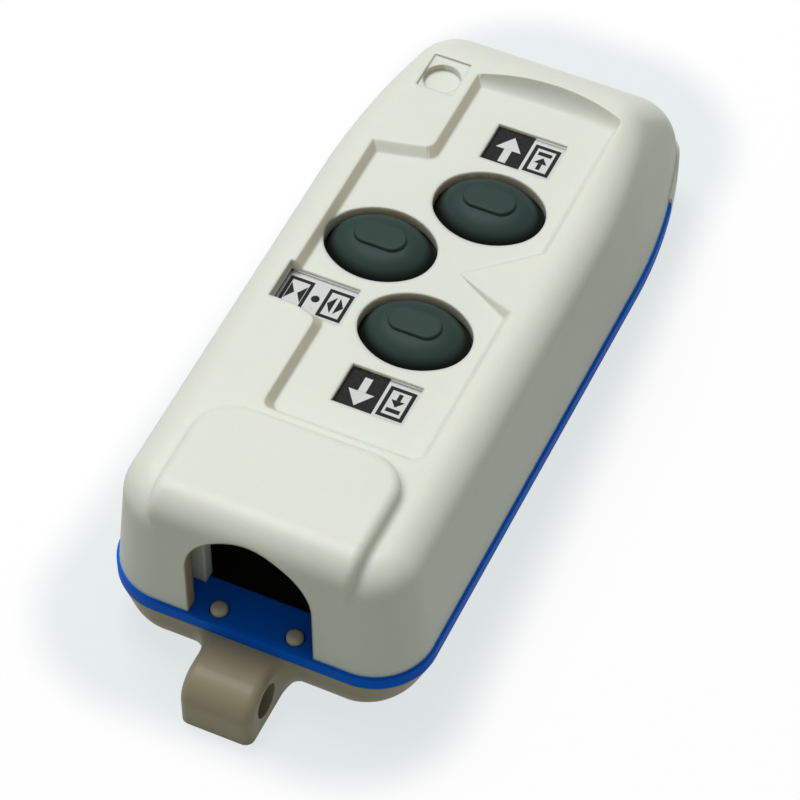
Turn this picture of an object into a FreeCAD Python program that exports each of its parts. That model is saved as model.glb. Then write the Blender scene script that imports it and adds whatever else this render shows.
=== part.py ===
import FreeCAD, Part
import Sketcher
import math
import os

# Pendant switch, lying on its back: +Z out of the button face, +Y to the far end, cable inlet at -Y.
# Every piece is drawn from the near end wall of the cover (y = 0) and the seam (z = 0), and its
# Placement then puts the middle of the back at the origin. Lengths are in millimetres.

SIZES = {
    # plan and section of the housing
    "cover_width": 60.0,
    "cover_length": 139.8,
    "cover_height": 25.5,
    "side_lean": 2.7,
    "far_lean": 17.3,
    "far_swell": 4.1,
    "bow_start": 101.8,
    "bow_lean": 20.5,
    "far_width": 45.5,
    "far_side_lean": 2.9,
    "far_side_swell": 1.6,
    "near_corner": 11.0,
    "far_corner": 6.6,
    "top_edge": 6.5,
    "wall": 2.6,
    "top_wall": 2.8,
    "rim_step": 0.5,
    "gasket_thickness": 2.7,
    "case_depth": 10.8,
    "case_edge": 8.5,
    "case_side_lean": 4.5,
    "case_near_lean": 0.5,
    "case_far_lean": 6.0,
    "case_floor": 2.4,
    "skirt_start": 124.0,
    "skirt_wall": 1.8,
    "skirt_rise": 1.2,
    "seal_clearance": 0.1,
    # raised pad over the inlet
    "hand_pad_width": 39.0,
    "hand_pad_length": 26.2,
    "hand_pad_rise": 3.0,
    "hand_pad_nose": 6.0,
    "hand_pad_corner": 7.5,
    "hand_pad_edge": 1.7,
    "hand_pad_base": 1.25,
    # stepped recess in the button face
    "recess_depth": 1.8,
    "recess_slope": 1.3,
    "recess_right": 19.8,
    "recess_upper_left": 9.6,
    "recess_lower_left": 11.3,
    "recess_near": 28.8,
    "recess_far": 117.3,
    "recess_crown": 3.3,
    "recess_corner": 2.5,
    "wing_left": 20.4,
    "wing_near": 53.3,
    "wing_far": 94.2,
    "wing_slant": 2.6,
    "thumb_tip": 12.8,
    "thumb_near": 66.5,
    "thumb_far": 82.0,
    "thumb_middle": 72.3,
    "thumb_run": 1.3,
    # buttons
    "button_length": 21.3,
    "button_height": 17.4,
    "button_end_radius": 7.5,
    "button_gap": 0.4,
    "button_right": 5.5,
    "button_left": 8.8,
    "button_pitch": 16.1,
    "button_rise": 2.1,
    "button_dome": 5.8,
    "button_skin": 2.4,
    "button_roof": 2.4,
    "button_flange": 0.8,
    "flange_thickness": 1.2,
    "flange_clearance": 0.3,
    "button_travel": 1.5,
    "finger_pad_length": 10.0,
    "finger_pad_width": 5.4,
    "finger_pad_rise": 0.7,
    # labels and indicator
    "label_length": 13.8,
    "label_height": 9.1,
    "label_set_back": 0.5,
    "label_clearance": 0.1,
    "card_thickness": 0.3,
    "window_thickness": 0.8,
    "label_left": 14.25,
    "label_lower": 40.9,
    "lower_spacing": 15.7,
    "middle_spacing": 15.9,
    "upper_spacing": 15.5,
    "indicator_left": 15.3,
    "indicator_along": 113.7,
    "indicator_diameter": 7.1,
    "indicator_depth": 1.8,
    "relief_width": 7.4,
    "relief_length": 8.6,
    "relief_lead": 0.8,
    "relief_depth": 0.4,
    # cable inlet
    "inlet_radius": 12.1,
    "inlet_jamb": 12.6,
    "inlet_groove": 1.2,
    "partition_start": 7.0,
    "partition_thickness": 2.6,
    "inlet_pad_width": 31.0,
    "inlet_pad_length": 8.7,
    "peg_spacing": 14.7,
    "peg_along": 2.7,
    "peg_diameter": 3.2,
    "peg_rise": 1.3,
    "peg_dome": 1.0,
    "peg_clearance": 0.2,
    "ledge_thickness": 4.5,
    # lug on the rear case
    "lug_width": 14.0,
    "lug_reach": 13.1,
    "lug_nose": 5.5,
    "lug_offset": 1.0,
    "lug_flare_share": 0.53,
    "lug_margin": 0.5,
    "lug_sink": 0.05,
    "lug_edge": 1.8,
    "lug_bore": 6.6,
    "lug_bore_reach": 6.4,
    "lug_bore_drop": 5.2,
    # fixings of the housing
    "near_screw_across": 20.5,
    "near_screw_along": 16.0,
    "far_screw_across": 16.0,
    "far_screw_along": 118.0,
    "boss_diameter": 7.0,
    "insert_diameter": 4.2,
    "insert_length": 5.5,
    "screw_diameter": 3.0,
    "screw_head": 5.5,
    "screw_head_height": 2.0,
    "screw_clearance": 0.1,
    "screw_hole_clearance": 0.4,
    "head_set_back": 0.6,
    # button mechanism
    "spring_length": 4.6,
    "spring_diameter": 10.0,
    "spring_wire": 0.7,
    "spring_turns": 3.0,
    "guide_thickness": 2.0,
    "guide_margin": 3.0,
    "guide_post": 5.5,
    "guide_post_left": 14.0,
    "guide_post_right": 15.5,
    "guide_post_spread": 19.5,
    "guide_screw": 2.2,
    "guide_screw_head": 4.4,
    "guide_screw_head_height": 1.5,
    "guide_screw_length": 6.5,
    "plunger_shaft": 7.0,
    "plunger_below_guide": 0.6,
    "slide_clearance": 0.3,
    "core_clearance": 0.1,
    "stem_diameter": 6.4,
    "stem_showing": 2.1,
    "stem_hidden": 1.8,
    "switch_width": 12.0,
    "switch_height": 4.6,
    # circuit board and terminals
    "board_thickness": 1.6,
    "board_width": 44.0,
    "board_near": 26.0,
    "board_length": 84.0,
    "board_corner": 4.0,
    "board_post": 6.0,
    "board_screw": 2.5,
    "board_screw_head": 4.8,
    "board_screw_head_height": 1.8,
    "board_screw_length": 7.0,
    "terminal_length": 24.0,
    "terminal_width": 8.0,
    "terminal_height": 9.0,
    "terminal_along": 34.0,
    "terminal_pitch": 5.6,
    "terminal_mouth": 3.2,
    "terminal_screw": 3.4,
    "terminal_screw_depth": 2.5,
}

PLACE_NAMES = ("lower", "middle", "upper")
TERMINALS = 4

doc = FreeCAD.newDocument("pendant_switch")
sheet = doc.addObject("Spreadsheet::Sheet", "sizes")


class Size:
    """A length, as its value and as the sheet expression that gives it."""

    def __init__(self, value, text):
        self.value = value
        self.text = text

    def joined(self, sign, other, value):
        return Size(value, f"({self.text} {sign} {other.text})")

    def __add__(self, other):
        other = as_size(other)
        return self.joined("+", other, self.value + other.value)

    def __sub__(self, other):
        other = as_size(other)
        return self.joined("-", other, self.value - other.value)

    def __mul__(self, other):
        other = as_size(other)
        return self.joined("*", other, self.value * other.value)

    def __truediv__(self, other):
        other = as_size(other)
        return self.joined("/", other, self.value / other.value)

    def __neg__(self):
        return Size(-self.value, f"(0 - {self.text})")

    def root(self):
        return Size(math.sqrt(self.value), f"sqrt({self.text})")


class Sizes:
    """The driving dimensions by name, each kept in one cell of the sheet."""

    def __init__(self, values):
        for row, (name, value) in enumerate(values.items(), start=1):
            sheet.set(f"A{row}", name)
            sheet.set(f"B{row}", str(value))
            sheet.setAlias(f"B{row}", name)
            setattr(self, name, Size(value, f"sizes.{name}"))


def as_size(value):
    if isinstance(value, Size):
        return value
    return Size(float(value), str(value))


d = Sizes(SIZES)
doc.recompute()
ZERO = as_size(0)
ONE = as_size(1)
TOLERANCE = 1e-3

# Heights and places that follow from the driving dimensions
case_rim = -d.gasket_thickness
back = case_rim - d.case_depth
recess_floor = d.cover_height - d.recess_depth
ceiling = recess_floor - d.top_wall
cap_base = ceiling - d.flange_clearance - d.flange_thickness
guide_top = cap_base - d.spring_length
guide_base = guide_top - d.guide_thickness
stem_top = guide_base - d.plunger_below_guide
switch_top = stem_top - d.stem_showing
board_top = switch_top - d.switch_height
board_base = board_top - d.board_thickness
cap_top = recess_floor + d.button_rise
label_floor = recess_floor - d.label_set_back - d.window_thickness - d.card_thickness
middle_along = (d.cover_length + d.rim_step - d.lug_reach) / 2
lug_flare = (d.cover_width / 2 - d.case_side_lean - d.near_corner - d.lug_width / 2) * d.lug_flare_share
button_lower = d.label_lower + d.lower_spacing
button_middle = button_lower + d.button_pitch
button_upper = button_middle + d.button_pitch
button_places = (
    (d.button_right, button_lower),
    (-d.button_left, button_middle),
    (d.button_right, button_upper),
)
label_places = (
    (d.button_right, d.label_lower),
    (-d.label_left, button_middle - d.middle_spacing),
    (d.button_right, button_upper + d.upper_spacing),
)
case_screw_places = (
    (-d.near_screw_across, d.near_screw_along),
    (d.near_screw_across, d.near_screw_along),
    (-d.far_screw_across, d.far_screw_along),
    (d.far_screw_across, d.far_screw_along),
)
guide_post_places = (
    (-d.guide_post_left, button_middle - d.guide_post_spread),
    (d.guide_post_right, button_middle),
    (-d.guide_post_left, button_middle + d.guide_post_spread),
)
board_far = d.board_near + d.board_length
board_post_places = tuple(
    (across, along)
    for across in (d.board_corner - d.board_width / 2, d.board_width / 2 - d.board_corner)
    for along in (d.board_near + d.board_corner, board_far - d.board_corner)
)


# Sketches and features

def vector(point):
    return FreeCAD.Vector(point[0].value, point[1].value, 0)


def bind(sketch, constraint, size):
    index = sketch.addConstraint(constraint)
    sketch.setExpression(f"Constraints[{index}]", size.text)


def bind_point(sketch, geometry, end, point):
    """Ties one end or centre of a sketch line to its two coordinates."""
    for kind, size in zip(("DistanceX", "DistanceY"), point):
        bind(sketch, Sketcher.Constraint(kind, -1, 1, geometry, end, size.value), size)


def angle(arm):
    return math.atan2(arm.y, arm.x)


def draw_arc(sketch, start, end, centre):
    """Draws the shorter arc from start to end, and ties its centre along the chord's bisector."""
    middle = vector(centre)
    first = vector(start) - middle
    last = vector(end) - middle
    forward = first.cross(last).z > -TOLERANCE
    low, high = (first, last) if forward else (last, first)
    stop = angle(high)
    if stop < angle(low):
        stop += 2 * math.pi
    circle = Part.Circle(middle, FreeCAD.Vector(0, 0, 1), first.Length)
    geometry = sketch.addGeometry(Part.ArcOfCircle(circle, angle(low), stop))
    chord = last - first
    if abs(chord.y) > abs(chord.x):
        bind(sketch, Sketcher.Constraint("DistanceX", -1, 1, geometry, 3, middle.x), centre[0])
    else:
        bind(sketch, Sketcher.Constraint("DistanceY", -1, 1, geometry, 3, middle.y), centre[1])
    return (geometry, 1, 2) if forward else (geometry, 2, 1)


def trace(sketch, points, centres=None):
    """Draws a closed loop through points; centres gives the centre of each edge that is an arc."""
    centres = centres or {}
    edges = []
    for index, start in enumerate(points):
        end = points[(index + 1) % len(points)]
        if index in centres:
            edges.append(draw_arc(sketch, start, end, centres[index]))
        else:
            line = Part.LineSegment(vector(start), vector(end))
            edges.append((sketch.addGeometry(line), 1, 2))
    for index, (geometry, first, last) in enumerate(edges):
        following, head, tail = edges[(index + 1) % len(edges)]
        sketch.addConstraint(Sketcher.Constraint("Coincident", geometry, last, following, head))
    for (geometry, first, last), point in zip(edges, points):
        bind_point(sketch, geometry, first, point)


def rectangle(sketch, low, high):
    trace(sketch, [low, (high[0], low[1]), high, (low[0], high[1])])


def box_about(sketch, place, length, height):
    low = (place[0] - length / 2, place[1] - height / 2)
    high = (place[0] + length / 2, place[1] + height / 2)
    rectangle(sketch, low, high)


def circle(sketch, centre, diameter):
    ring = Part.Circle(vector(centre), FreeCAD.Vector(0, 0, 1), diameter.value / 2)
    geometry = sketch.addGeometry(ring)
    bind_point(sketch, geometry, 3, centre)
    bind(sketch, Sketcher.Constraint("Diameter", geometry, diameter.value), diameter)


def oval(sketch, centre, grow):
    """A button's four-arc oval about centre, larger all round by grow."""
    across = d.button_length / 2 + grow
    along = d.button_height / 2 + grow
    end = d.button_end_radius + grow
    arm = across - end
    flank = (arm * arm + along * along - end * end) / ((along - end) * 2)
    sink = flank - along
    reach = flank / (flank - end)
    joint_x = arm * reach
    joint_y = sink * reach - sink
    x, y = centre
    points = [
        (x + joint_x, y - joint_y),
        (x + joint_x, y + joint_y),
        (x - joint_x, y + joint_y),
        (x - joint_x, y - joint_y),
    ]
    centres = {0: (x + arm, y), 1: (x, y - sink), 2: (x - arm, y), 3: (x, y + sink)}
    trace(sketch, points, centres)


def stadium(sketch, length, width):
    radius = width / 2
    arm = length / 2 - radius
    points = [(-arm, -radius), (arm, -radius), (arm, radius), (-arm, radius)]
    trace(sketch, points, {1: (arm, ZERO), 3: (-arm, ZERO)})


def arch(sketch, radius, sill):
    points = [(-radius, sill), (radius, sill), (radius, d.inlet_jamb), (-radius, d.inlet_jamb)]
    trace(sketch, points, {2: (ZERO, d.inlet_jamb)})


def cover_leans(share):
    """How far the cover's walls stand in from the seam, at a share of its height."""
    swell = share * (ONE - share) * 4
    far = d.far_lean * share - d.far_swell * swell
    far_side = d.far_side_lean * share - d.far_side_swell * swell
    return d.side_lean * share, ZERO, far, d.bow_lean * share, far_side


def case_leans(share):
    """How far the case's walls stand in from its rim, at a share of its depth."""
    side = d.case_side_lean * share
    return side, d.case_near_lean * share, d.case_far_lean * share, ZERO, side


def outline(sketch, grow, leans=(ZERO,) * 5):
    """The housing's plan at the seam, larger all round by grow, with each wall moved in by its lean."""
    side_in, near_in, far_in, bow_in, far_side_in = leans
    half = d.cover_width / 2 + grow - side_in
    near = near_in - grow
    far = d.cover_length + grow - far_in
    near_corner = d.near_corner + grow
    far_corner = d.far_corner + grow
    bow = d.bow_start - bow_in
    drop = (d.cover_width - d.far_width) / 2 + far_side_in - side_in
    run = far - bow
    bow_radius = (drop * drop + run * run) / (drop * 2)
    inner = bow_radius - far_corner
    rise = run - far_corner
    across = (inner * inner - rise * rise).root()
    reach = bow_radius / inner
    bow_centre = half - bow_radius
    corner_centre = bow_centre + across
    joint = (bow_centre + across * reach, bow + rise * reach)
    right = [
        (half - near_corner, near),
        (half, near + near_corner),
        (half, bow),
        joint,
        (corner_centre, far),
    ]
    left = [(-x, y) for x, y in reversed(right)]
    centres = [
        (half - near_corner, near + near_corner),
        None,
        (bow_centre, bow),
        (corner_centre, far - far_corner),
    ]
    arcs = {}
    for index, centre in enumerate(centres):
        if centre:
            arcs[index] = centre
            arcs[len(right) + len(centres) - 1 - index] = (-centre[0], centre[1])
    trace(sketch, right + left, arcs)


def new_body(name):
    body = doc.addObject("PartDesign::Body", name)
    body.Label = name
    return body


def sketch_on(body, name, role, offset=ZERO):
    """A sketch on one of the body's own origin planes, moved along the plane's normal."""
    sketch = body.newObject("Sketcher::SketchObject", f"{body.Name}_{name}")
    plane = [feature for feature in body.Origin.OriginFeatures if feature.Role == role]
    sketch.AttachmentSupport = [(plane[0], "")]
    sketch.MapMode = "FlatFace"
    sketch.setExpression("AttachmentOffset.Base.z", offset.text)
    return sketch


def level(body, name, height=ZERO):
    return sketch_on(body, name, "XY_Plane", height)


def upright(body, name, along=ZERO):
    """A sketch that faces the inlet, with X across and Z up, at a distance from the near end wall."""
    return sketch_on(body, name, "XZ_Plane", -along)


def settle(feature):
    """Works the document out again, and stops at a feature that failed."""
    doc.recompute()
    for item in doc.Objects:
        if "Invalid" in item.State or "Error" in item.State:
            raise RuntimeError(f"{item.Name} failed: {item.getStatusString()}")
    return feature


def pad(body, sketch, length, reverse=False):
    feature = body.newObject("PartDesign::Pad", f"{sketch.Name}_pad")
    feature.Profile = sketch
    feature.Reversed = reverse
    feature.setExpression("Length", length.text)
    return settle(feature)


def pocket(body, sketch, length, reverse=False):
    before = body.Shape.Volume
    feature = body.newObject("PartDesign::Pocket", f"{sketch.Name}_pocket")
    feature.Profile = sketch
    feature.Reversed = reverse
    feature.setExpression("Length", length.text)
    settle(feature)
    if feature.Shape.Volume >= before:
        raise RuntimeError(f"{feature.Name} cuts nothing")
    return feature


def loft(body, kind, high, *lower):
    """A loft from the upper sketch down to the others: straight between two, smooth through more."""
    feature = body.newObject(f"PartDesign::{kind}", f"{high.Name}_loft")
    feature.Profile = high
    feature.Sections = list(lower)
    feature.Ruled = len(lower) == 1
    return settle(feature)


def fillet(body, name, radius, test):
    """Rounds every edge of the body that passes the test."""
    base = body.Tip
    chosen = [f"Edge{index}" for index, edge in enumerate(base.Shape.Edges, start=1) if test(edge)]
    if not chosen:
        raise RuntimeError(f"{body.Name}: no edge for {name}")
    feature = body.newObject("PartDesign::Fillet", f"{body.Name}_{name}")
    feature.Base = (base, chosen)
    feature.setExpression("Radius", radius.text)
    return settle(feature)


def combine(body, kind, tool):
    """Cuts another body away from this one, or fuses it on."""
    feature = body.newObject("PartDesign::Boolean", f"{tool.Name}_{kind.lower()}")
    feature.setObjects([tool])
    feature.Type = kind
    return settle(feature)


def close(one, other):
    return abs(one - other) < TOLERANCE


def flat_at(edge, height):
    box = edge.BoundBox
    return close(box.ZMin, height.value) and close(box.ZMax, height.value)


def put(piece, x=ZERO, y=ZERO, z=ZERO):
    """Moves a finished piece from the near end wall and the seam to the middle of the back."""
    piece.setExpression("Placement.Base.x", x.text)
    piece.setExpression("Placement.Base.y", (y - middle_along).text)
    piece.setExpression("Placement.Base.z", (z - back).text)
    return piece


# Front cover

def cover_form(body, grow, top, edge):
    """The cover's leaning block with a round top edge, larger all round by grow."""
    sections = []
    for name, height in (("top", top), ("middle", top / 2), ("seam", ZERO)):
        section = level(body, f"{name}_outline", height)
        outline(section, grow, cover_leans(height / d.cover_height))
        sections.append(section)
    loft(body, "AdditiveLoft", *sections)
    fillet(body, "top_edge", edge, lambda candidate: flat_at(candidate, top))


def hand_pad():
    """The raised pad above the inlet, which rolls over into the end wall."""
    body = new_body("hand_pad")
    top = d.cover_height + d.hand_pad_rise
    nose = d.hand_pad_nose
    profile = sketch_on(body, "profile", "YZ_Plane", -d.hand_pad_width / 2)
    points = [
        (ZERO, d.inlet_jamb),
        (d.hand_pad_length, d.inlet_jamb),
        (d.hand_pad_length, top),
        (nose, top),
        (ZERO, top - nose),
    ]
    trace(profile, points, {3: (nose, top - nose)})
    pad(body, profile, d.hand_pad_width)

    def far_corner(edge):
        box = edge.BoundBox
        return close(box.XMin, box.XMax) and close(box.YMin, d.hand_pad_length.value)

    def rim_edge(edge):
        box = edge.BoundBox
        beyond_nose = box.YMax > nose.value + TOLERANCE
        on_nose_side = close(box.XMin, box.XMax) and box.ZMax > d.inlet_jamb.value + TOLERANCE
        return flat_at(edge, top) if beyond_nose else on_nose_side

    fillet(body, "corners", d.hand_pad_corner, far_corner)
    fillet(body, "rim", d.hand_pad_edge, rim_edge)
    return body


def pad_base(edge):
    """True for the edges where the raised pad stands on the top face."""
    box = edge.BoundBox
    half = d.hand_pad_width.value / 2
    within = max(abs(box.XMin), abs(box.XMax)) < half + TOLERANCE
    return flat_at(edge, d.cover_height) and within and box.YMax < d.hand_pad_length.value + TOLERANCE


def hood(name, high, clearance):
    """The skirt round the far end, flush with the case; clearance enlarges it to cut its seat."""
    body = new_body(name)
    outside = level(body, "outside", high)
    outline(outside, d.rim_step + clearance)
    pad(body, outside, high - case_rim, reverse=True)
    inside = level(body, "inside")
    outline(inside, d.rim_step - d.skirt_wall - clearance)
    pocket(body, inside, d.gasket_thickness)
    front = level(body, "front", high)
    reach = d.cover_width
    rectangle(front, (-reach, -reach), (reach, d.skirt_start - clearance))
    pocket(body, front, high - case_rim)
    return body


def recess(body):
    """The stepped recess, with sloping walls and an arched far rim."""
    slope = d.recess_slope
    chord = d.recess_right + d.recess_upper_left
    radius = (chord * chord / 4 + d.recess_crown * d.recess_crown) / (d.recess_crown * 2)
    crown = ((d.recess_right - d.recess_upper_left) / 2, d.recess_far + d.recess_crown - radius)
    loops = []
    for name, height, inset in (("rim", d.cover_height, ZERO), ("floor", recess_floor, slope)):
        right = d.recess_right - inset
        upper_left = inset - d.recess_upper_left
        lower_left = inset - d.recess_lower_left
        wing_left = inset - d.wing_left
        points = [
            (lower_left, d.recess_near + inset),
            (right, d.recess_near + inset),
            (right, d.recess_far - inset),
            (upper_left, d.recess_far - inset),
            (upper_left, d.wing_far + d.wing_slant - inset),
            (wing_left, d.wing_far - inset),
            (wing_left, d.wing_near + inset),
            (lower_left, d.wing_near - d.wing_slant + inset),
        ]
        sketch = level(body, f"recess_{name}", height)
        trace(sketch, points, {2: crown} if name == "rim" else None)
        loops.append(sketch)
    loft(body, "SubtractiveLoft", *loops)

    corners = (
        (-d.recess_upper_left.value, d.wing_far.value + d.wing_slant.value),
        (-d.recess_lower_left.value, d.wing_near.value - d.wing_slant.value),
        (-d.recess_lower_left.value, d.recess_near.value),
        (d.recess_right.value, d.recess_near.value),
    )

    def corner_edge(edge):
        box = edge.BoundBox
        if not (close(box.ZMin, recess_floor.value) and close(box.ZMax, d.cover_height.value)):
            return False
        top = max(edge.Vertexes, key=lambda vertex: vertex.Z).Point
        return any(close(top.x, x) and close(top.y, y) for x, y in corners)

    fillet(body, "recess_corners", d.recess_corner, corner_edge)


def thumb_rest(body):
    """The low wedge between the buttons, from the recess's right wall down to a point."""
    tip = d.recess_right - d.thumb_tip
    wall = d.recess_right
    plans = []
    for name, height, run in (("top", d.cover_height, ZERO), ("foot", recess_floor, d.thumb_run)):
        plan = level(body, f"thumb_{name}", height)
        trace(plan, [(tip, d.thumb_middle), (wall, d.thumb_near - run), (wall, d.thumb_far)])
        plans.append(plan)
    loft(body, "AdditiveLoft", *plans)
    above = d.cover_height + d.recess_depth
    slope = upright(body, "thumb_slope", d.thumb_near - d.thumb_run)
    trace(slope, [(tip, recess_floor), (wall, d.cover_height), (wall, above), (tip, above)])
    pocket(body, slope, d.thumb_far - d.thumb_near + d.thumb_run)


def button_face(body):
    """Button holes, label pockets and the blind indicator recess."""
    holes = level(body, "button_holes", d.cover_height)
    for where in button_places:
        oval(holes, where, ZERO)
    pocket(body, holes, d.cover_height - ceiling)

    pockets = level(body, "label_pockets", d.cover_height)
    for where in label_places:
        box_about(pockets, where, d.label_length, d.label_height)
    pocket(body, pockets, d.cover_height - label_floor)

    relief = level(body, "indicator_relief", d.cover_height + d.relief_depth)
    where = (-d.indicator_left, d.indicator_along + d.relief_lead)
    box_about(relief, where, d.relief_width, d.relief_length)
    pocket(body, relief, d.relief_depth * 2)
    dimple = level(body, "indicator", d.cover_height)
    circle(dimple, (-d.indicator_left, d.indicator_along), d.indicator_diameter)
    pocket(body, dimple, d.indicator_depth)


def cable_inlet(body):
    """Partition behind the end wall, the arched way through both, and the bush groove between."""
    partition_end = d.partition_start + d.partition_thickness
    wall = upright(body, "partition", d.partition_start)
    low = d.cover_width / 2 - d.wall / 2
    high = low - d.side_lean * ceiling / d.cover_height
    trace(wall, [(-low, ZERO), (low, ZERO), (high, ceiling), (-high, ceiling)])
    pad(body, wall, d.partition_thickness, reverse=True)

    way = upright(body, "inlet_arch")
    arch(way, d.inlet_radius, ZERO)
    pocket(body, way, partition_end)
    groove = upright(body, "inlet_groove", d.wall)
    arch(groove, d.inlet_radius + d.inlet_groove, ZERO)
    pocket(body, groove, d.partition_start - d.wall)


def cover_fixings(body):
    """Screw bosses with insert holes, and the posts that carry the guide plate."""
    bosses = level(body, "screw_bosses")
    for where in case_screw_places:
        circle(bosses, where, d.boss_diameter)
    pad(body, bosses, ceiling + d.top_wall / 4)
    posts = level(body, "guide_posts", guide_top)
    for where in guide_post_places:
        circle(posts, where, d.guide_post)
    pad(body, posts, ceiling - guide_top + d.top_wall / 4)
    seats = level(body, "insert_seats")
    for where in case_screw_places:
        circle(seats, where, d.insert_diameter)
    pocket(body, seats, d.insert_length + d.screw_hole_clearance, reverse=True)
    holes = level(body, "guide_screw_holes", guide_top)
    for where in guide_post_places:
        circle(holes, where, d.guide_screw + d.screw_clearance)
    depth = d.guide_screw_length - d.guide_thickness + d.screw_hole_clearance
    pocket(body, holes, depth, reverse=True)


def front_cover():
    body = new_body("front_cover")
    cover_form(body, ZERO, d.cover_height, d.top_edge)
    combine(body, "Fuse", hand_pad())
    fillet(body, "pad_base", d.hand_pad_base, pad_base)
    combine(body, "Fuse", hood("cover_hood", d.skirt_rise, ZERO))
    hollow = new_body("cover_hollow")
    cover_form(hollow, -d.wall, ceiling, d.top_edge - d.wall)
    combine(body, "Cut", hollow)
    cable_inlet(body)
    cover_fixings(body)
    recess(body)
    thumb_rest(body)
    button_face(body)
    return put(body)


# Seal gasket

def seal_gasket():
    body = new_body("seal_gasket")
    outside = level(body, "outside")
    outline(outside, d.rim_step)
    pad(body, outside, d.gasket_thickness, reverse=True)
    inside = level(body, "inside")
    outline(inside, -d.wall)
    pocket(body, inside, d.gasket_thickness)
    inlet = level(body, "inlet_pad")
    half = d.inlet_pad_width / 2
    rectangle(inlet, (-half, ZERO), (half, d.inlet_pad_length))
    pad(body, inlet, d.gasket_thickness, reverse=True)
    holes = level(body, "peg_holes")
    for side in (-1, 1):
        circle(holes, (d.peg_spacing / 2 * side, d.peg_along), d.peg_diameter + d.peg_clearance * 2)
    pocket(body, holes, d.gasket_thickness)
    combine(body, "Cut", hood("hood_seat", ZERO, d.seal_clearance))
    return put(body)


# Rear case

def case_form(body, grow, floor, edge):
    """The case's leaning block with a round lower edge, larger all round by grow."""
    high = level(body, "rim_outline", case_rim)
    outline(high, grow)
    low = level(body, "floor_outline", floor)
    outline(low, grow, case_leans((case_rim - floor) / d.case_depth))
    loft(body, "AdditiveLoft", high, low)
    fillet(body, "edge", edge, lambda candidate: flat_at(candidate, floor))


def lug():
    """The strap lug, flared into a root that lies just under the case's near wall."""
    body = new_body("lug")
    spare = lug_flare * 2
    root = d.case_edge + spare
    reach = -d.lug_reach
    wall = d.lug_sink - d.rim_step
    floor = back + d.lug_sink
    foot = wall + d.case_near_lean
    across = d.lug_width / 2 + lug_flare + d.lug_margin
    block = sketch_on(body, "root", "YZ_Plane", -across - d.lug_offset)
    trace(block, [(wall, case_rim), (foot, floor), (root, floor), (root, case_rim)])
    pad(body, block, across * 2)

    def foot_edge(edge):
        return flat_at(edge, floor) and close(edge.BoundBox.YMax, foot.value)

    fillet(body, "foot", d.case_edge, foot_edge)
    profile = sketch_on(body, "lug_profile", "YZ_Plane", -d.lug_width / 2 - d.lug_offset)
    points = [
        (root, back - spare),
        (root, case_rim),
        (reach + d.lug_nose, case_rim),
        (reach, case_rim - d.lug_nose),
        (reach, back - spare),
    ]
    trace(profile, points, {2: (reach + d.lug_nose, case_rim - d.lug_nose)})
    pad(body, profile, d.lug_width)

    def on_side(box):
        side = close(abs(box.XMin + d.lug_offset.value), d.lug_width.value / 2)
        return side and close(box.XMin, box.XMax)

    def nose_edge(edge):
        box = edge.BoundBox
        return on_side(box) and box.YMax < foot.value and box.YMin < wall.value - TOLERANCE

    def root_edge(edge):
        box = edge.BoundBox
        above = box.ZMin > back.value and box.YMin > wall.value - TOLERANCE
        return on_side(box) and above

    fillet(body, "lug_flare", lug_flare, root_edge)
    fillet(body, "lug_edges", d.lug_edge, nose_edge)
    trim = level(body, "lug_trim", back)
    rectangle(trim, (-d.cover_width / 2, reach - spare), (d.cover_width / 2, root + spare))
    pocket(body, trim, spare)
    return body


def lug_bore(body):
    bore = sketch_on(body, "lug_bore", "YZ_Plane", -d.lug_width)
    circle(bore, (-d.lug_bore_reach, case_rim - d.lug_bore_drop), d.lug_bore)
    pocket(body, bore, d.lug_width * 2, reverse=True)


def case_hollow():
    """The room in the case, less the ledge under the cable inlet."""
    body = new_body("case_hollow")
    case_form(body, -d.wall, back + d.case_floor, d.case_edge - d.wall)
    ledge = level(body, "ledge", case_rim)
    half = d.inlet_pad_width / 2
    rectangle(ledge, (-half, ZERO), (half, d.partition_start + d.partition_thickness))
    pocket(body, ledge, d.ledge_thickness)
    return body


def case_inside(body):
    """The cable pegs, the board posts and the posts for the case screws."""
    pegs = level(body, "pegs", case_rim)
    for side in (-1, 1):
        circle(pegs, (d.peg_spacing / 2 * side, d.peg_along), d.peg_diameter)
    pad(body, pegs, d.gasket_thickness + d.peg_rise)
    fillet(body, "peg_domes", d.peg_dome, lambda edge: flat_at(edge, d.peg_rise))

    floor = back + d.case_floor / 2
    posts = level(body, "board_posts", floor)
    for where in board_post_places:
        circle(posts, where, d.board_post)
    pad(body, posts, board_base - floor)
    holes = level(body, "board_screw_holes", board_base)
    for where in board_post_places:
        circle(holes, where, d.board_screw + d.screw_clearance)
    pocket(body, holes, d.board_screw_length - d.board_thickness + d.screw_hole_clearance)

    posts = level(body, "case_posts", floor)
    for where in case_screw_places:
        circle(posts, where, d.boss_diameter)
    pad(body, posts, -floor)
    heads = level(body, "head_seats", back)
    for where in case_screw_places:
        circle(heads, where, d.screw_head + d.screw_hole_clearance)
    pocket(body, heads, d.screw_head_height + d.head_set_back, reverse=True)
    shanks = level(body, "shank_holes")
    for where in case_screw_places:
        circle(shanks, where, d.screw_diameter + d.screw_hole_clearance)
    pocket(body, shanks, -back)


def rear_case():
    body = new_body("rear_case")
    case_form(body, d.rim_step, back, d.case_edge)
    combine(body, "Fuse", lug())
    combine(body, "Cut", case_hollow())
    case_inside(body)
    lug_bore(body)
    return put(body)


# Buttons, each with its plunger, spring and switch

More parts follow.
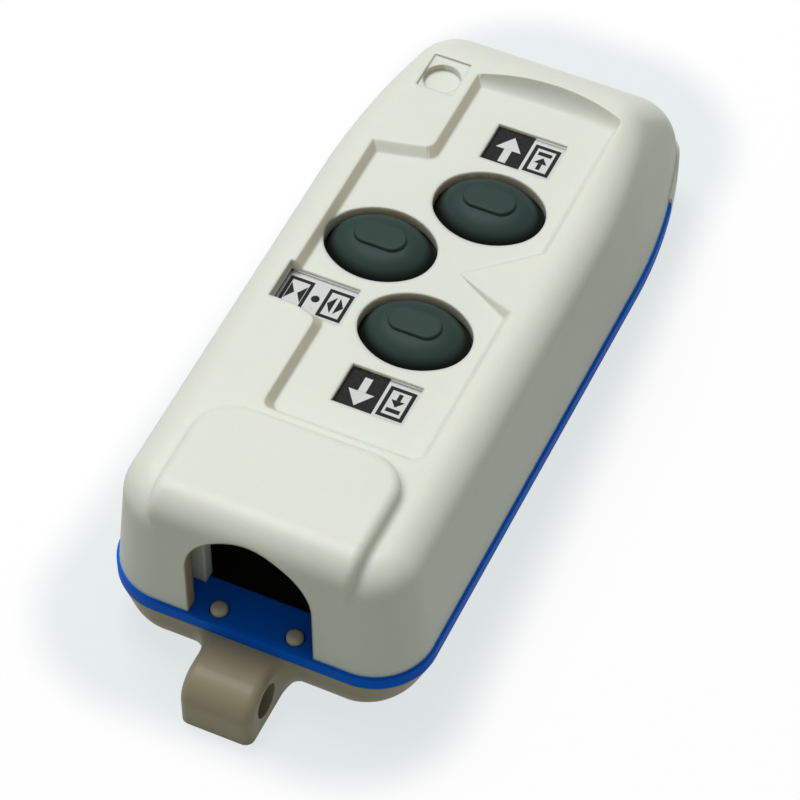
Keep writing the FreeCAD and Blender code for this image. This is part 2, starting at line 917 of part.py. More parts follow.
def button_cap(name, where):
    """A rubber cap with a domed oval top, a raised finger pad and a retaining flange."""
    body = new_body(f"button_cap_{name}")
    centre = (ZERO, ZERO)
    side = -d.button_gap
    plan = level(body, "plan", cap_base)
    oval(plan, centre, side)
    pad(body, plan, cap_top - cap_base)
    fillet(body, "dome", d.button_dome, lambda edge: flat_at(edge, cap_top))
    flange = level(body, "flange", cap_base)
    oval(flange, centre, side + d.button_flange)
    pad(body, flange, d.flange_thickness)
    finger = level(body, "finger_pad", cap_top - d.finger_pad_rise)
    stadium(finger, d.finger_pad_length, d.finger_pad_width)
    pad(body, finger, d.finger_pad_rise * 2)
    top = cap_top + d.finger_pad_rise
    fillet(body, "finger_pad_edge", d.finger_pad_rise / 2, lambda edge: flat_at(edge, top))
    inside = level(body, "inside", cap_base)
    oval(inside, centre, side - d.button_skin)
    pocket(body, inside, cap_top - cap_base - d.button_roof, reverse=True)
    return put(body, *where)


def plunger(name, where):
    """The hard core of a cap, with the shaft that runs in the guide plate."""
    body = new_body(f"plunger_{name}")
    centre = (ZERO, ZERO)
    core = level(body, "core", cap_base)
    oval(core, centre, -d.button_gap - d.button_skin - d.core_clearance)
    pad(body, core, cap_top - cap_base - d.button_roof)
    shaft = level(body, "shaft", stem_top)
    circle(shaft, centre, d.plunger_shaft)
    pad(body, shaft, cap_base - stem_top)
    return put(body, *where)


def return_spring(name, where):
    body = new_body(f"return_spring_{name}")
    wire = upright(body, "wire")
    start = guide_top + d.spring_wire / 2 + d.core_clearance / 2
    circle(wire, (d.spring_diameter / 2, start), d.spring_wire)
    coil = body.newObject("PartDesign::AdditiveHelix", f"{body.Name}_coil")
    coil.Profile = wire
    coil.ReferenceAxis = (wire, ["V_Axis"])
    coil.Mode = "height-turns-growth"
    coil.setExpression("Height", (d.spring_length - d.spring_wire - d.core_clearance).text)
    coil.setExpression("Turns", d.spring_turns.text)
    settle(coil)
    return put(body, *where)


def switch_body(name, where):
    body = new_body(f"switch_body_{name}")
    centre = (ZERO, ZERO)
    plan = level(body, "plan", board_top)
    box_about(plan, centre, d.switch_width, d.switch_width)
    pad(body, plan, d.switch_height)
    bore = level(body, "bore", switch_top)
    circle(bore, centre, d.stem_diameter + d.slide_clearance * 2)
    pocket(body, bore, d.stem_hidden + d.button_travel + d.slide_clearance)
    return put(body, *where)


def cylinder(name, where, low, high, diameter):
    piece = doc.addObject("Part::Cylinder", name)
    piece.Label = name
    piece.setExpression("Radius", (diameter / 2).text)
    piece.setExpression("Height", (high - low).text)
    return put(piece, *where, low)


def guide_plate():
    body = new_body("guide_plate")
    margin = d.guide_margin
    low = (-d.guide_post_left - margin, button_middle - d.guide_post_spread - margin)
    high = (d.guide_post_right + margin, button_middle + d.guide_post_spread + margin)
    plan = level(body, "plan", guide_base)
    rectangle(plan, low, high)
    pad(body, plan, d.guide_thickness)
    fillet(body, "corners", margin, lambda edge: edge.BoundBox.ZLength > d.guide_thickness.value / 2)
    holes = level(body, "holes", guide_top)
    for where in button_places:
        circle(holes, where, d.plunger_shaft + d.slide_clearance * 2)
    for where in guide_post_places:
        circle(holes, where, d.guide_screw + d.screw_hole_clearance)
    pocket(body, holes, d.guide_thickness)
    return put(body)


# Circuit board and terminals

def circuit_board():
    body = new_body("circuit_board")
    half = d.board_width / 2
    plan = level(body, "plan", board_base)
    rectangle(plan, (-half, d.board_near), (half, board_far))
    pad(body, plan, d.board_thickness)
    holes = level(body, "holes", board_top)
    for where in board_post_places:
        circle(holes, where, d.board_screw + d.screw_hole_clearance)
    pocket(body, holes, d.board_thickness)
    return put(body)


def terminal_places():
    middle = (TERMINALS - 1) / 2
    return [(d.terminal_pitch * (index - middle), d.terminal_along) for index in range(TERMINALS)]


def terminal_block():
    body = new_body("terminal_block")
    centre = (ZERO, d.terminal_along)
    plan = level(body, "plan", board_top)
    box_about(plan, centre, d.terminal_length, d.terminal_width)
    pad(body, plan, d.terminal_height)
    screws = level(body, "screw_holes", board_top + d.terminal_height)
    for where in terminal_places():
        circle(screws, where, d.terminal_screw + d.screw_clearance)
    pocket(body, screws, d.terminal_screw_depth * 2)
    mouths = upright(body, "wire_mouths", d.terminal_along - d.terminal_width / 2)
    for x, along in terminal_places():
        box_about(mouths, (x, board_top + d.terminal_mouth), d.terminal_mouth, d.terminal_mouth)
    pocket(body, mouths, d.terminal_width / 2)
    return put(body)


# Fasteners and labels

def screw(name, where, seat, tip, shank, head, head_height):
    """A pan screw: its head lies against seat, on the side away from tip."""
    up = tip.value > seat.value
    low, high = (seat, tip) if up else (tip, seat)
    head_low = seat - head_height if up else seat
    stem = cylinder(f"{name}_shank", where, low, high, shank)
    cap = cylinder(f"{name}_head", where, head_low, head_low + head_height, head)
    whole = doc.addObject("Part::Fuse", name)
    whole.Base = stem
    whole.Tool = cap
    return whole


def group(name, members):
    piece = doc.addObject("Part::Compound", name)
    piece.Label = name
    piece.Links = members
    return piece


def numbered(name, places):
    return [(f"{name}_{index}", where) for index, where in enumerate(places, start=1)]


def case_screws():
    seat = back + d.screw_head_height + d.head_set_back
    sizes = (d.screw_diameter, d.screw_head, d.screw_head_height)
    places = numbered("case_screw", case_screw_places)
    return group("case_screws", [screw(name, at, seat, d.insert_length, *sizes) for name, at in places])


def guide_screws():
    tip = guide_base + d.guide_screw_length
    sizes = (d.guide_screw, d.guide_screw_head, d.guide_screw_head_height)
    places = numbered("guide_screw", guide_post_places)
    return group("guide_screws", [screw(name, at, guide_base, tip, *sizes) for name, at in places])


def board_screws():
    tip = board_top - d.board_screw_length
    sizes = (d.board_screw, d.board_screw_head, d.board_screw_head_height)
    places = numbered("board_screw", board_post_places)
    return group("board_screws", [screw(name, at, board_top, tip, *sizes) for name, at in places])


def terminal_screws():
    high = board_top + d.terminal_height - d.terminal_screw_depth / 2
    low = board_top + d.terminal_height - d.terminal_screw_depth * 2
    size = d.terminal_screw
    places = numbered("terminal_screw", terminal_places())
    return group("terminal_screws", [cylinder(name, at, low, high, size) for name, at in places])


def threaded_inserts():
    sleeves = []
    size = d.insert_diameter - d.screw_clearance
    bore = d.screw_diameter + d.screw_clearance
    for name, where in numbered("insert", case_screw_places):
        sleeve = doc.addObject("Part::Cut", name)
        sleeve.Base = cylinder(f"{name}_outside", where, ZERO, d.insert_length, size)
        sleeve.Tool = cylinder(f"{name}_inside", where, ZERO, d.insert_length, bore)
        sleeves.append(sleeve)
    return group("threaded_inserts", sleeves)


def label_sheet(name, where, low, thickness):
    length = d.label_length - d.label_clearance * 2
    height = d.label_height - d.label_clearance * 2
    piece = doc.addObject("Part::Box", name)
    piece.Label = name
    piece.setExpression("Length", length.text)
    piece.setExpression("Width", height.text)
    piece.setExpression("Height", thickness.text)
    return put(piece, where[0] - length / 2, where[1] - height / 2, low)


# All pieces

pieces = [front_cover(), seal_gasket(), rear_case(), guide_plate(), circuit_board(), terminal_block()]
pieces += [case_screws(), threaded_inserts(), guide_screws(), board_screws(), terminal_screws()]
stem_base = switch_top - d.stem_hidden
for name, where in zip(PLACE_NAMES, button_places):
    pieces += [button_cap(name, where), plunger(name, where), return_spring(name, where)]
    pieces += [switch_body(name, where)]
    pieces += [cylinder(f"switch_stem_{name}", where, stem_base, stem_top, d.stem_diameter)]
for name, where in zip(PLACE_NAMES, label_places):
    pieces += [label_sheet(f"label_card_{name}", where, label_floor, d.card_thickness)]
    window_low = label_floor + d.card_thickness
    pieces += [label_sheet(f"label_window_{name}", where, window_low, d.window_thickness)]

settle(sheet)
for piece in pieces:
    if piece.Shape.isNull() or not piece.Shape.isValid():
        raise RuntimeError(f"{piece.Label} has no valid shape")
os.makedirs("parts", exist_ok=True)
for piece in pieces:
    piece.Shape.exportStep(f"parts/{piece.Label}.step")
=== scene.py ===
import math
import bpy
from mathutils import Matrix, Vector


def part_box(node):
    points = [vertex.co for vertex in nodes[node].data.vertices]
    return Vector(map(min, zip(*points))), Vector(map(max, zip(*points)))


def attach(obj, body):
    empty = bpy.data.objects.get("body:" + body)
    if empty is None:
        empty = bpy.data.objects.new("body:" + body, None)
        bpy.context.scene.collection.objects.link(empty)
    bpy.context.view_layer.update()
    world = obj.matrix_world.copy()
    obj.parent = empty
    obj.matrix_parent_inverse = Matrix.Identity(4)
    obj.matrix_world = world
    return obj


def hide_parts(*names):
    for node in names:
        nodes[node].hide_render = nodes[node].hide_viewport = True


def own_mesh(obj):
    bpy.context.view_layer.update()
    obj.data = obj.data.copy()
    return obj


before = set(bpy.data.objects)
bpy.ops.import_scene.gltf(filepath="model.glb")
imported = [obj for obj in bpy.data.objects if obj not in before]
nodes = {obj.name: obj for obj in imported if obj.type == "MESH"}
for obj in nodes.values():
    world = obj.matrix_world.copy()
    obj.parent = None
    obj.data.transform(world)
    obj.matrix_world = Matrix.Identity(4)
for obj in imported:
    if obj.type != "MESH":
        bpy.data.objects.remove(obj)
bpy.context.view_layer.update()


# Rear case: the lower half of the housing, with the strap lug at its near end.
# Injection-moulded taupe plastic with a fine spark-eroded grain, painted near-black inside as shade, with
# cable pegs painted paler as light on them.
# Closed from the back by four screws.

class Wire:
    """A socket of a node tree that takes part in Python expressions."""

    def __init__(self, tree, socket=None):
        self.tree = tree
        self.socket = socket

    def node(self, kind, settings=None, sockets=None, take=0):
        """Adds a node: its settings first, then the values or links of its sockets."""
        made = self.tree.nodes.new(kind)
        for name, value in (settings or {}).items():
            setattr(made, name, value)
        for name, value in (sockets or {}).items():
            if isinstance(value, Wire):
                self.tree.links.new(value.socket, made.inputs[name])
            else:
                made.inputs[name].default_value = value
        return Wire(self.tree, made.outputs[take]) if made.outputs else None

    def maths(self, operation, *values):
        return self.node("ShaderNodeMath", {"operation": operation}, dict(enumerate(values)))

    def __add__(self, other):
        return self.maths("ADD", self, other)

    def __radd__(self, other):
        return self.maths("ADD", other, self)

    def __sub__(self, other):
        return self.maths("SUBTRACT", self, other)

    def __rsub__(self, other):
        return self.maths("SUBTRACT", other, self)

    def __mul__(self, other):
        return self.maths("MULTIPLY", self, other)

    def __rmul__(self, other):
        return self.maths("MULTIPLY", other, self)

    def __truediv__(self, other):
        return self.maths("DIVIDE", self, other)

    def __rtruediv__(self, other):
        return self.maths("DIVIDE", other, self)

    def __neg__(self):
        return self.maths("MULTIPLY", self, -1)

    def __abs__(self):
        return self.maths("ABSOLUTE", self)

    def lesser(self, other):
        return self.maths("MINIMUM", self, other)

    def greater(self, other):
        return self.maths("MAXIMUM", self, other)

    def root(self):
        return self.maths("SQRT", self)

    def clamped(self):
        return self.node("ShaderNodeClamp", None, {"Value": self})

    def unit(self):
        """A vector of the same direction, of length 1."""
        return self.node("ShaderNodeVectorMath", {"operation": "NORMALIZE"}, {0: self})

    def into(self, node, name):
        self.tree.links.new(self.socket, node.inputs[name])


def new_finish(name, **constants):
    """A material, its shader with the constants set, and the wire of its Object coordinates."""
    material = bpy.data.materials.new(name)
    material.use_nodes = True
    shader = material.node_tree.nodes["Principled BSDF"]
    for socket, value in constants.items():
        shader.inputs[socket.replace("_", " ")].default_value = value
    place = Wire(material.node_tree).node("ShaderNodeTexCoord", take="Object")
    return material, shader, place


def noise(place, scale, detail=2.0, roughness=0.5):
    sockets = {"Vector": place, "Scale": scale, "Detail": detail, "Roughness": roughness}
    return place.node("ShaderNodeTexNoise", None, sockets)


def blend(factor, low, high):
    """A colour between two others, by a wire from 0 to 1."""
    low_socket, high_socket, result = 6, 7, 2
    ends = [end if isinstance(end, Wire) else (*end, 1) for end in (low, high)]
    sockets = {"Factor": factor, low_socket: ends[0], high_socket: ends[1]}
    return factor.node("ShaderNodeMix", {"data_type": "RGBA"}, sockets, take=result)


def turned(factor, low, high):
    """A normal between two others, by a wire from 0 to 1."""
    low_socket, high_socket, result = 4, 5, 1
    sockets = {"Factor": factor, low_socket: low, high_socket: high}
    return factor.node("ShaderNodeMix", {"data_type": "VECTOR"}, sockets, take=result).unit()


def inside(first, *gaps, sharpness):
    """1 where every gap is positive, falling to 0 over a soft edge."""
    least = first
    for gap in gaps:
        least = least.lesser(gap)
    return (least * sharpness + 0.5).clamped()


def axis(place, name):
    return place.node("ShaderNodeSeparateXYZ", None, {0: place}, name)


CLOUD_SCALE = 45
CLOUD_SHARE = 0.7
GLOSS_SCALE = 160
RIM_SAMPLES = 8


def moulded(
    name, colour, rough, grain, grain_depth, rim,
    tone=0.06, rough_spread=0.1, zones=(), hollow=None, **constants,
):
    """Moulded plastic or rubber: cloudy tone, grained skin, uneven gloss and softly rounded rims.

    A zone is a function that masks a place, with the colour that it has there.
    A hollow is a function that masks a place and gives the normal that it has there.
    """
    material, shader, place = new_finish(name, **constants)
    cloud = noise(place, CLOUD_SCALE, detail=4)
    fine = noise(place, grain, detail=3, roughness=0.6)
    dark = tuple(part * (1 - tone) for part in colour)
    light = tuple(min(1, part * (1 + tone)) for part in colour)
    skin_colour = blend(cloud * CLOUD_SHARE + fine * (1 - CLOUD_SHARE), dark, light)
    for mask, zone_colour in zones:
        skin_colour = blend(mask(place), skin_colour, zone_colour)
    skin_colour.into(shader, "Base Color")
    gloss = noise(place, GLOSS_SCALE, detail=3)
    (rough - rough_spread / 2 + gloss * rough_spread).into(shader, "Roughness")
    rounded = place.node("ShaderNodeBevel", {"samples": RIM_SAMPLES}, {"Radius": rim})
    skin = {"Strength": 1.0, "Distance": grain_depth, "Height": fine, "Normal": rounded}
    normal = place.node("ShaderNodeBump", None, skin)
    if hollow:
        mask, facing = hollow(place)
        normal = turned(mask, normal, facing)
    normal.into(shader, "Normal")
    return material


def dress(name, material):
    """Gives a node of the frame its finish."""
    piece = nodes[name]
    piece.data.materials.clear()
    piece.data.materials.append(material)


ZONE_SHARPNESS = 4000
# Painted shade: the insides of the shells are coloured near-black where little light reaches.
INNER_SHADE_COLOUR = (0.03, 0.031, 0.025)
INNER_SHADE_TAPER = 0.05
INNER_SHADE_END = 0.02
INNER_SHADE_FLOOR = 0.0012


def painted_inner_shade(near, half, top):
    """The mask of painted shade on a shell's inside, from its near end on, between its narrowing sides and
    up to its top.
    """
    def mask(place):
        along = axis(place, "Y")
        depth = axis(place, "Z")
        room = half - (along - near) * INNER_SHADE_TAPER
        gaps = (along - near, INNER_SHADE_END - along, depth - INNER_SHADE_FLOOR, top - depth)
        return inside(room - abs(axis(place, "X")), *gaps, sharpness=ZONE_SHARPNESS)
    return mask


# Painted light: the cable pegs are coloured paler, standing in for the light that falls on them.
PEG_PAINTED_LIGHT = (0.52, 0.47, 0.36)
PEG_FOOT = 0.0134
PEG_REACH = -0.057


def painted_peg_light(place):
    """The mask of painted light on the two cable pegs, above the seam at the near end."""
    return inside(axis(place, "Z") - PEG_FOOT, PEG_REACH - axis(place, "Y"), sharpness=ZONE_SHARPNESS)


case_plastic = moulded(
    "case_plastic", colour=(0.3, 0.258, 0.162), tone=0.1, rough=0.5,
    grain=3200, grain_depth=0.00002, rim=0.0004,
    zones=((painted_inner_shade(near=-0.054, half=0.02, top=0.013), INNER_SHADE_COLOUR), (painted_peg_light, PEG_PAINTED_LIGHT)),
)
dress("rear_case", case_plastic)


# Threaded inserts: knurled bushes pressed into the cover's bosses for the case screws.
# Turned brass, dulled where the knurling bites the plastic.

def metal(name, dull, bright, smear, scratch, least_rough, rough_spread):
    """Bare metal with smeared tone and uneven gloss."""
    material, shader, place = new_finish(name, Metallic=1.0)
    blend(noise(place, smear, detail=3), dull, bright).into(shader, "Base Color")
    (noise(place, scratch) * rough_spread + least_rough).into(shader, "Roughness")
    return material


brass = metal(
    "turned_brass", dull=(0.62, 0.44, 0.17), bright=(0.83, 0.63, 0.3),
    smear=700, scratch=1500, least_rough=0.2, rough_spread=0.25,
)
dress("threaded_inserts", brass)


# Circuit board: carries the three switches and the terminal block on four posts of the case.
# Green laminate with a glossy mask over its copper.

board_mask = moulded(
    "board_mask", colour=(0.012, 0.13, 0.045), rough=0.32,
    grain=900, grain_depth=0.00001, rim=0.0001,
)
dress("circuit_board", board_mask)


# Board screws: four pan-head screws that hold the board down on its posts.
# Zinc-plated steel with a cross recess, made as one screw and set at each place.

zinc = metal(
    "zinc_plate", dull=(0.5, 0.5, 0.5), bright=(0.72, 0.73, 0.74),
    smear=500, scratch=1800, least_rough=0.22, rough_spread=0.2,
)


def new_tree(name, sizes, result):
    """A node tree that takes places and named sizes, and gives one result."""
    tree = bpy.data.node_groups.new(name, "GeometryNodeTree")
    tree.interface.new_socket("Places", in_out="INPUT", socket_type="NodeSocketGeometry")
    for size_name in sizes:
        tree.interface.new_socket(size_name, in_out="INPUT", socket_type="NodeSocketFloat")
    tree.interface.new_socket(result, in_out="OUTPUT", socket_type="NodeSocketGeometry")
    return Wire(tree)


def given(wire, name):
    """A named input of a node tree."""
    return wire.node("NodeGroupInput", take=name)


def set_out(wire, shape, material, result, **rotation):
    """Ends a node tree: the shape stands at each place, made real and coated."""
    sockets = {"Points": given(wire, "Places"), "Instance": shape, **rotation}
    spread = wire.node("GeometryNodeInstanceOnPoints", None, sockets)
    solid = wire.node("GeometryNodeRealizeInstances", None, {"Geometry": spread})
    coated = wire.node("GeometryNodeSetMaterial", None, {"Geometry": solid, "Material": material})
    wire.node("NodeGroupOutput", None, {result: coated})


SCREW_SIZES = ("Head Diameter", "Head Height", "Shank Diameter", "Shank Length", "Turn")
screw = new_tree("pan_head_screws", SCREW_SIZES, "Screws")


def point(x, y, z):
    return screw.node("ShaderNodeCombineXYZ", None, {"X": x, "Y": y, "Z": z})


def shifted(shape, height):
    sockets = {"Geometry": shape, "Translation": point(0, 0, height)}
    return screw.node("GeometryNodeTransform", None, sockets)


HEAD_SIDES = 48
HEAD_TOP = 0.5
HEAD_FOOT = 0.4
SHANK_SIDES = 32
SHANK_SUNK = 0.2
RECESS_LONG = 0.56
RECESS_WIDE = 0.15
RECESS_DEPTHS = (1.2, 1.1)
head_diameter, head_height, shank_diameter, shank_length, turn = (given(screw, size) for size in SCREW_SIZES)
head = screw.node("GeometryNodeMeshCone", None, {
    "Vertices": HEAD_SIDES, "Radius Top": head_diameter * HEAD_TOP,
    "Radius Bottom": head_diameter * HEAD_FOOT, "Depth": head_height,
})
shank = screw.node("GeometryNodeMeshCylinder", None, {
    "Vertices": SHANK_SIDES, "Radius": shank_diameter / 2,
    "Depth": shank_length + head_height * SHANK_SUNK,
})
lowered_head = shifted(head, -head_height)
whole = screw.node("GeometryNodeMeshBoolean", {"operation": "UNION"}, {"Mesh 2": lowered_head})
sunk_shank = shifted(shank, shank_length / 2 - head_height * (SHANK_SUNK / 2))
sunk_shank.into(whole.socket.node, "Mesh 2")
recess_long = head_diameter * RECESS_LONG
recess_wide = head_diameter * RECESS_WIDE
blade_plans = ((recess_long, recess_wide), (recess_wide, recess_long))
for (blade_x, blade_y), depth_share in zip(blade_plans, RECESS_DEPTHS):
    blade_size = point(blade_x, blade_y, head_height * depth_share)
    blade = screw.node("GeometryNodeMeshCube", None, {"Size": blade_size})
    sockets = {"Mesh 1": whole, "Mesh 2": shifted(blade, -head_height)}
    whole = screw.node("GeometryNodeMeshBoolean", {"operation": "DIFFERENCE"}, sockets)
set_out(screw, whole, zinc, "Screws", Rotation=point(turn, 0, 0))
CREASE = math.radians(35)


def grown(tree, node, spots, seat, **sizes):
    """What a node tree grows at each spot, at the seat's height, as a plain mesh in place of a node."""
    mesh = bpy.data.meshes.new(f"{node}_places")
    mesh.from_pydata([(x, y, seat) for x, y in spots], [], [])
    piece = bpy.data.objects.new(f"{node}_set", mesh)
    bpy.context.scene.collection.objects.link(piece)
    maker = piece.modifiers.new("grown", "NODES")
    maker.node_group = tree
    for size_name, value in sizes.items():
        maker[tree.interface.items_tree[size_name.replace("_", " ")].identifier] = value
    depsgraph = bpy.context.evaluated_depsgraph_get()
    made = bpy.data.meshes.new_from_object(piece.evaluated_get(depsgraph))
    piece.modifiers.clear()
    piece.data = made
    made.name = f"{node}_set"
    made.shade_smooth()
    made.set_sharp_from_angle(angle=CREASE)
    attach(piece, "housing")
    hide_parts(node)
    return piece


def driven(node, spots, head_up, width, height, shank):
    """Screws at their spots in place of a node, with their heads at its top or at its foot."""
    low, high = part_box(node)
    seat = high.z - height if head_up else low.z + height
    grown(
        screw.tree, node, spots, seat, Turn=math.pi if head_up else 0.0,
        Head_Diameter=width, Head_Height=height,
        Shank_Diameter=shank, Shank_Length=high.z - low.z - height,
    )


BOARD_SCREWS = [(x, y) for x in (-0.018, 0.018) for y in (-0.0336, 0.0424)]
driven("board_screws", BOARD_SCREWS, head_up=True, width=0.0048, height=0.0018, shank=0.0025)


# Terminal block: takes the cable's cores behind the inlet.
# Moulded green plastic on the board, with a brass clamping screw for each core.

terminal_plastic = moulded(
    "terminal_plastic", colour=(0.04, 0.2, 0.08), rough=0.45,
    grain=2600, grain_depth=0.00002, rim=0.0002,
)
dress("terminal_block", terminal_plastic)
dress("terminal_screws", brass)


# Switches: one snap-action block under each button, with a sliding stem.
# Black moulded bodies soldered to the board, and ivory stems.

BUTTONS = ("lower", "middle", "upper")
switch_plastic = moulded(
    "switch_plastic", colour=(0.022, 0.022, 0.024), rough=0.45,
    grain=2600, grain_depth=0.00002, rim=0.0002,
)
stem_plastic = moulded(
    "stem_plastic", colour=(0.7, 0.66, 0.55), rough=0.4,
    grain=2600, grain_depth=0.00001, rim=0.0002,
)
for button in BUTTONS:
    dress(f"switch_body_{button}", switch_plastic)
    dress(f"switch_stem_{button}", stem_plastic)


# Guide plate: a drilled plate that keeps the three plungers upright.
# Dark moulded plastic, held up to posts under the cover by three screws.

guide_plastic = moulded(
    "guide_plastic", colour=(0.12, 0.12, 0.125), rough=0.5,
    grain=2600, grain_depth=0.00002, rim=0.0002,
)
dress("guide_plate", guide_plastic)
GUIDE_SCREWS = [(-0.014, -0.0104), (0.0155, 0.0091), (-0.014, 0.0286)]
driven("guide_screws", GUIDE_SCREWS, head_up=False, width=0.0044, height=0.0015, shank=0.0022)


# Plungers and return springs: each plunger stands in its cap and pushes its switch's stem.
# Natural nylon plungers, and coiled springs of bright steel wire that lift them again.
# Each spring stands on the guide plate, with a mesh of its own.

nylon = moulded(
    "natural_nylon", colour=(0.66, 0.65, 0.6), rough=0.42,
    grain=2400, grain_depth=0.00001, rim=0.0002,
)
TURN_STEPS = 64
WIRE_SIDES = 14
SPRING_SIZES = ("Coil Diameter", "Wire Diameter", "Turns", "Height")
winding = new_tree("coil_spring", SPRING_SIZES, "Springs")
coil_diameter, wire_diameter, turns, height = (given(winding, size) for size in SPRING_SIZES)
coil_radius = coil_diameter / 2
coil = winding.node("GeometryNodeCurveSpiral", None, {
    "Resolution": TURN_STEPS, "Rotations": turns, "Start Radius": coil_radius,
    "End Radius": coil_radius, "Height": height,
})
section = winding.node(
    "GeometryNodeCurvePrimitiveCircle", None, {"Resolution": WIRE_SIDES, "Radius": wire_diameter / 2},
)
drawn = winding.node(
    "GeometryNodeCurveToMesh", None, {"Curve": coil, "Profile Curve": section, "Fill Caps": True},
)
set_out(winding, drawn, zinc, "Springs")

SPRING_WIRE = 0.0007
SPRING_TURNS = 3.0
for button in BUTTONS:
    dress(f"plunger_{button}", nylon)
    spring_low, spring_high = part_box(f"return_spring_{button}")
    centre = (spring_low + spring_high) / 2
    length = spring_high.z - spring_low.z
    spring = grown(
        winding.tree, f"return_spring_{button}", [(centre.x, centre.y)], spring_low.z + SPRING_WIRE / 2,
        Coil_Diameter=spring_high.x - spring_low.x - SPRING_WIRE, Wire_Diameter=SPRING_WIRE,
        Turns=SPRING_TURNS, Height=length - SPRING_WIRE,
    )
    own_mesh(spring)


# Seal gasket: a soft plate in the seam, with the pad that the cable's bush stands on.
# Satin blue rubber, squeezed between the cover and the case.

seal_rubber = moulded(
    "seal_rubber", colour=(0.0, 0.125, 0.74), tone=0.1, rough=0.45,
    grain=2200, grain_depth=0.00001, rim=0.0004, Specular_IOR_Level=0.04,
)
dress("seal_gasket", seal_rubber)


# Front cover: the upper half of the housing, with the grip pad, the stepped recess and the inlet.
# Injection-moulded cream plastic, satin, with a fine grain, painted near-black inside as shade, and with
# painted shade on the inlet's arched edge and on the recess's left walls.
# Held on the case by the four case screws, with the seal between.

# Painted shade: the inlet's arched edge is coloured a dark warm brown, as the shade that falls in it.
JAMB_SHADE_COLOUR = (0.5, 0.37, 0.24)
JAMB_SHARPNESS = 8000
JAMB_RADIUS = 0.01225
JAMB_DEPTH = -0.0605
ARCH_CENTRE = 0.0261


def reach(across, along):
    """The distance that two lengths at right angles give."""
    return (across * across + along * along).root()


def painted_jamb_shade(place):
    """The mask of painted shade on the inlet's arched edge, in the thickness of the end wall."""
    rise = (axis(place, "Z") - ARCH_CENTRE).greater(0.0)
    across = axis(place, "X")
    return inside(JAMB_RADIUS - reach(across, rise), JAMB_DEPTH - axis(place, "Y"), sharpness=JAMB_SHARPNESS)


# Painted shade: the recess's left walls are coloured darker, as the shade on walls that face away from the
# lamp.
WALL_SHADE_COLOUR = (0.58, 0.55, 0.45)
WALL_SHADE_FLOOR, WALL_SHADE_TOP = 0.0373, 0.03899
WALL_SHADE_NEAR, WALL_SHADE_FAR = -0.0355, 0.0575
WALL_SHADE_LEAN = 0.3
WALL_SHADE_FADE = 0.002


def painted_wall_shade(place):
    """The mask of painted shade on the recess's left walls, which face right, away from the lamp."""
    facing = axis(place.node("ShaderNodeNewGeometry", take="True Normal"), "X")
    along = axis(place, "Y")
    depth = axis(place, "Z")
    gaps = (
        depth - WALL_SHADE_FLOOR, WALL_SHADE_TOP - depth, -axis(place, "X"),
        along - WALL_SHADE_NEAR, WALL_SHADE_FAR - along,
    )
    return inside((facing - WALL_SHADE_LEAN) * WALL_SHADE_FADE, *gaps, sharpness=ZONE_SHARPNESS)


WALL_FOOT = 0.0524
WALL_MIDDLE = 0.0051
WALL_HALF = 0.0142
WALL_SHARPNESS = 6000
WALL_SLOPE = 0.4
WALL_STEEPENING = 2.2
RIM_RADIUS = 0.03439
RIM_CENTRE = 0.02261


def far_wall(place):
    """The recess's far wall, hollowed so that it steepens from its straight foot to its arched rim."""
    across = axis(place, "X") - WALL_MIDDLE
    along = axis(place, "Y")
    rim = (RIM_RADIUS * RIM_RADIUS - across * across).root() + RIM_CENTRE
    share = ((along - WALL_FOOT) / (rim - WALL_FOOT)).clamped()
    gaps = (along - WALL_FOOT, WALL_HALF - abs(across))
    mask = inside(rim - along, *gaps, sharpness=WALL_SHARPNESS)
    steep = (share * WALL_STEEPENING + WALL_SLOPE) / RIM_RADIUS
    facing = {"X": -(across * steep), "Y": (RIM_CENTRE - along) * steep, "Z": 1.0}
    return mask, place.node("ShaderNodeCombineXYZ", None, facing).unit()


cover_plastic = moulded(
    "cover_plastic", colour=(0.735, 0.75, 0.68), tone=0.025, rough=0.48,
    grain=2800, grain_depth=0.00002, rim=0.0009,
    zones=(
        (painted_inner_shade(near=-0.0541, half=0.0258, top=0.031), INNER_SHADE_COLOUR),
        (painted_jamb_shade, JAMB_SHADE_COLOUR),
        (painted_wall_shade, WALL_SHADE_COLOUR),
    ),
    hollow=far_wall,
    Subsurface_Weight=0.5, Subsurface_Radius=(1.0, 0.7, 0.4), Subsurface_Scale=0.0025,
)
dress("front_cover", cover_plastic)


# Button caps: oval caps with a raised finger pad, each on its plunger in a hole of the cover.
# Matt dark green rubber, painted darker down in the gap around each cap as shade.

# Painted shade: each cap's flank is coloured near-black down in the gap, where shade falls.
CAP_GAP_SHADE_COLOUR = (0.004, 0.0075, 0.0066)
FOOT_TOP = 0.0379
FOOT_FADE = 0.0014


def painted_cap_gap_shade(place):
    """The mask of painted shade on a cap's flank, deeper in the gap around it."""
    return ((FOOT_TOP - axis(place, "Z")) / FOOT_FADE).clamped()


button_rubber = moulded(
    "button_rubber", colour=(0.026, 0.05, 0.044), tone=0.12, rough=0.55,
    grain=2400, grain_depth=0.00002, rim=0.0003,
    zones=((painted_cap_gap_shade, CAP_GAP_SHADE_COLOUR),), Specular_IOR_Level=0.2,
)
for button in BUTTONS:
    dress(f"button_cap_{button}", button_rubber)


# Label cards and windows: a printed card in a pocket under a clear plate.
# White card with black ink, and a snapped-in window of clear plastic.
# Each mark is drawn in millimetres from the middle of its card.

INK_SHARPNESS = 14.0
PAST_EDGE = 9
POINT_SHARE = 0.5


def either(first, *masks):
    most = first
    for mask in masks:
        most = most.greater(mask)
    return most


def bar(across, along, left, right, low, high):
    gaps = (right - across, along - low, high - along)
    return inside(across - left, *gaps, sharpness=INK_SHARPNESS)


def box_line(across, along, left, right, low, high, line):
    hole = bar(across, along, left + line, right - line, low + line, high - line)
    return bar(across, along, left, right, low, high) * (1 - hole)


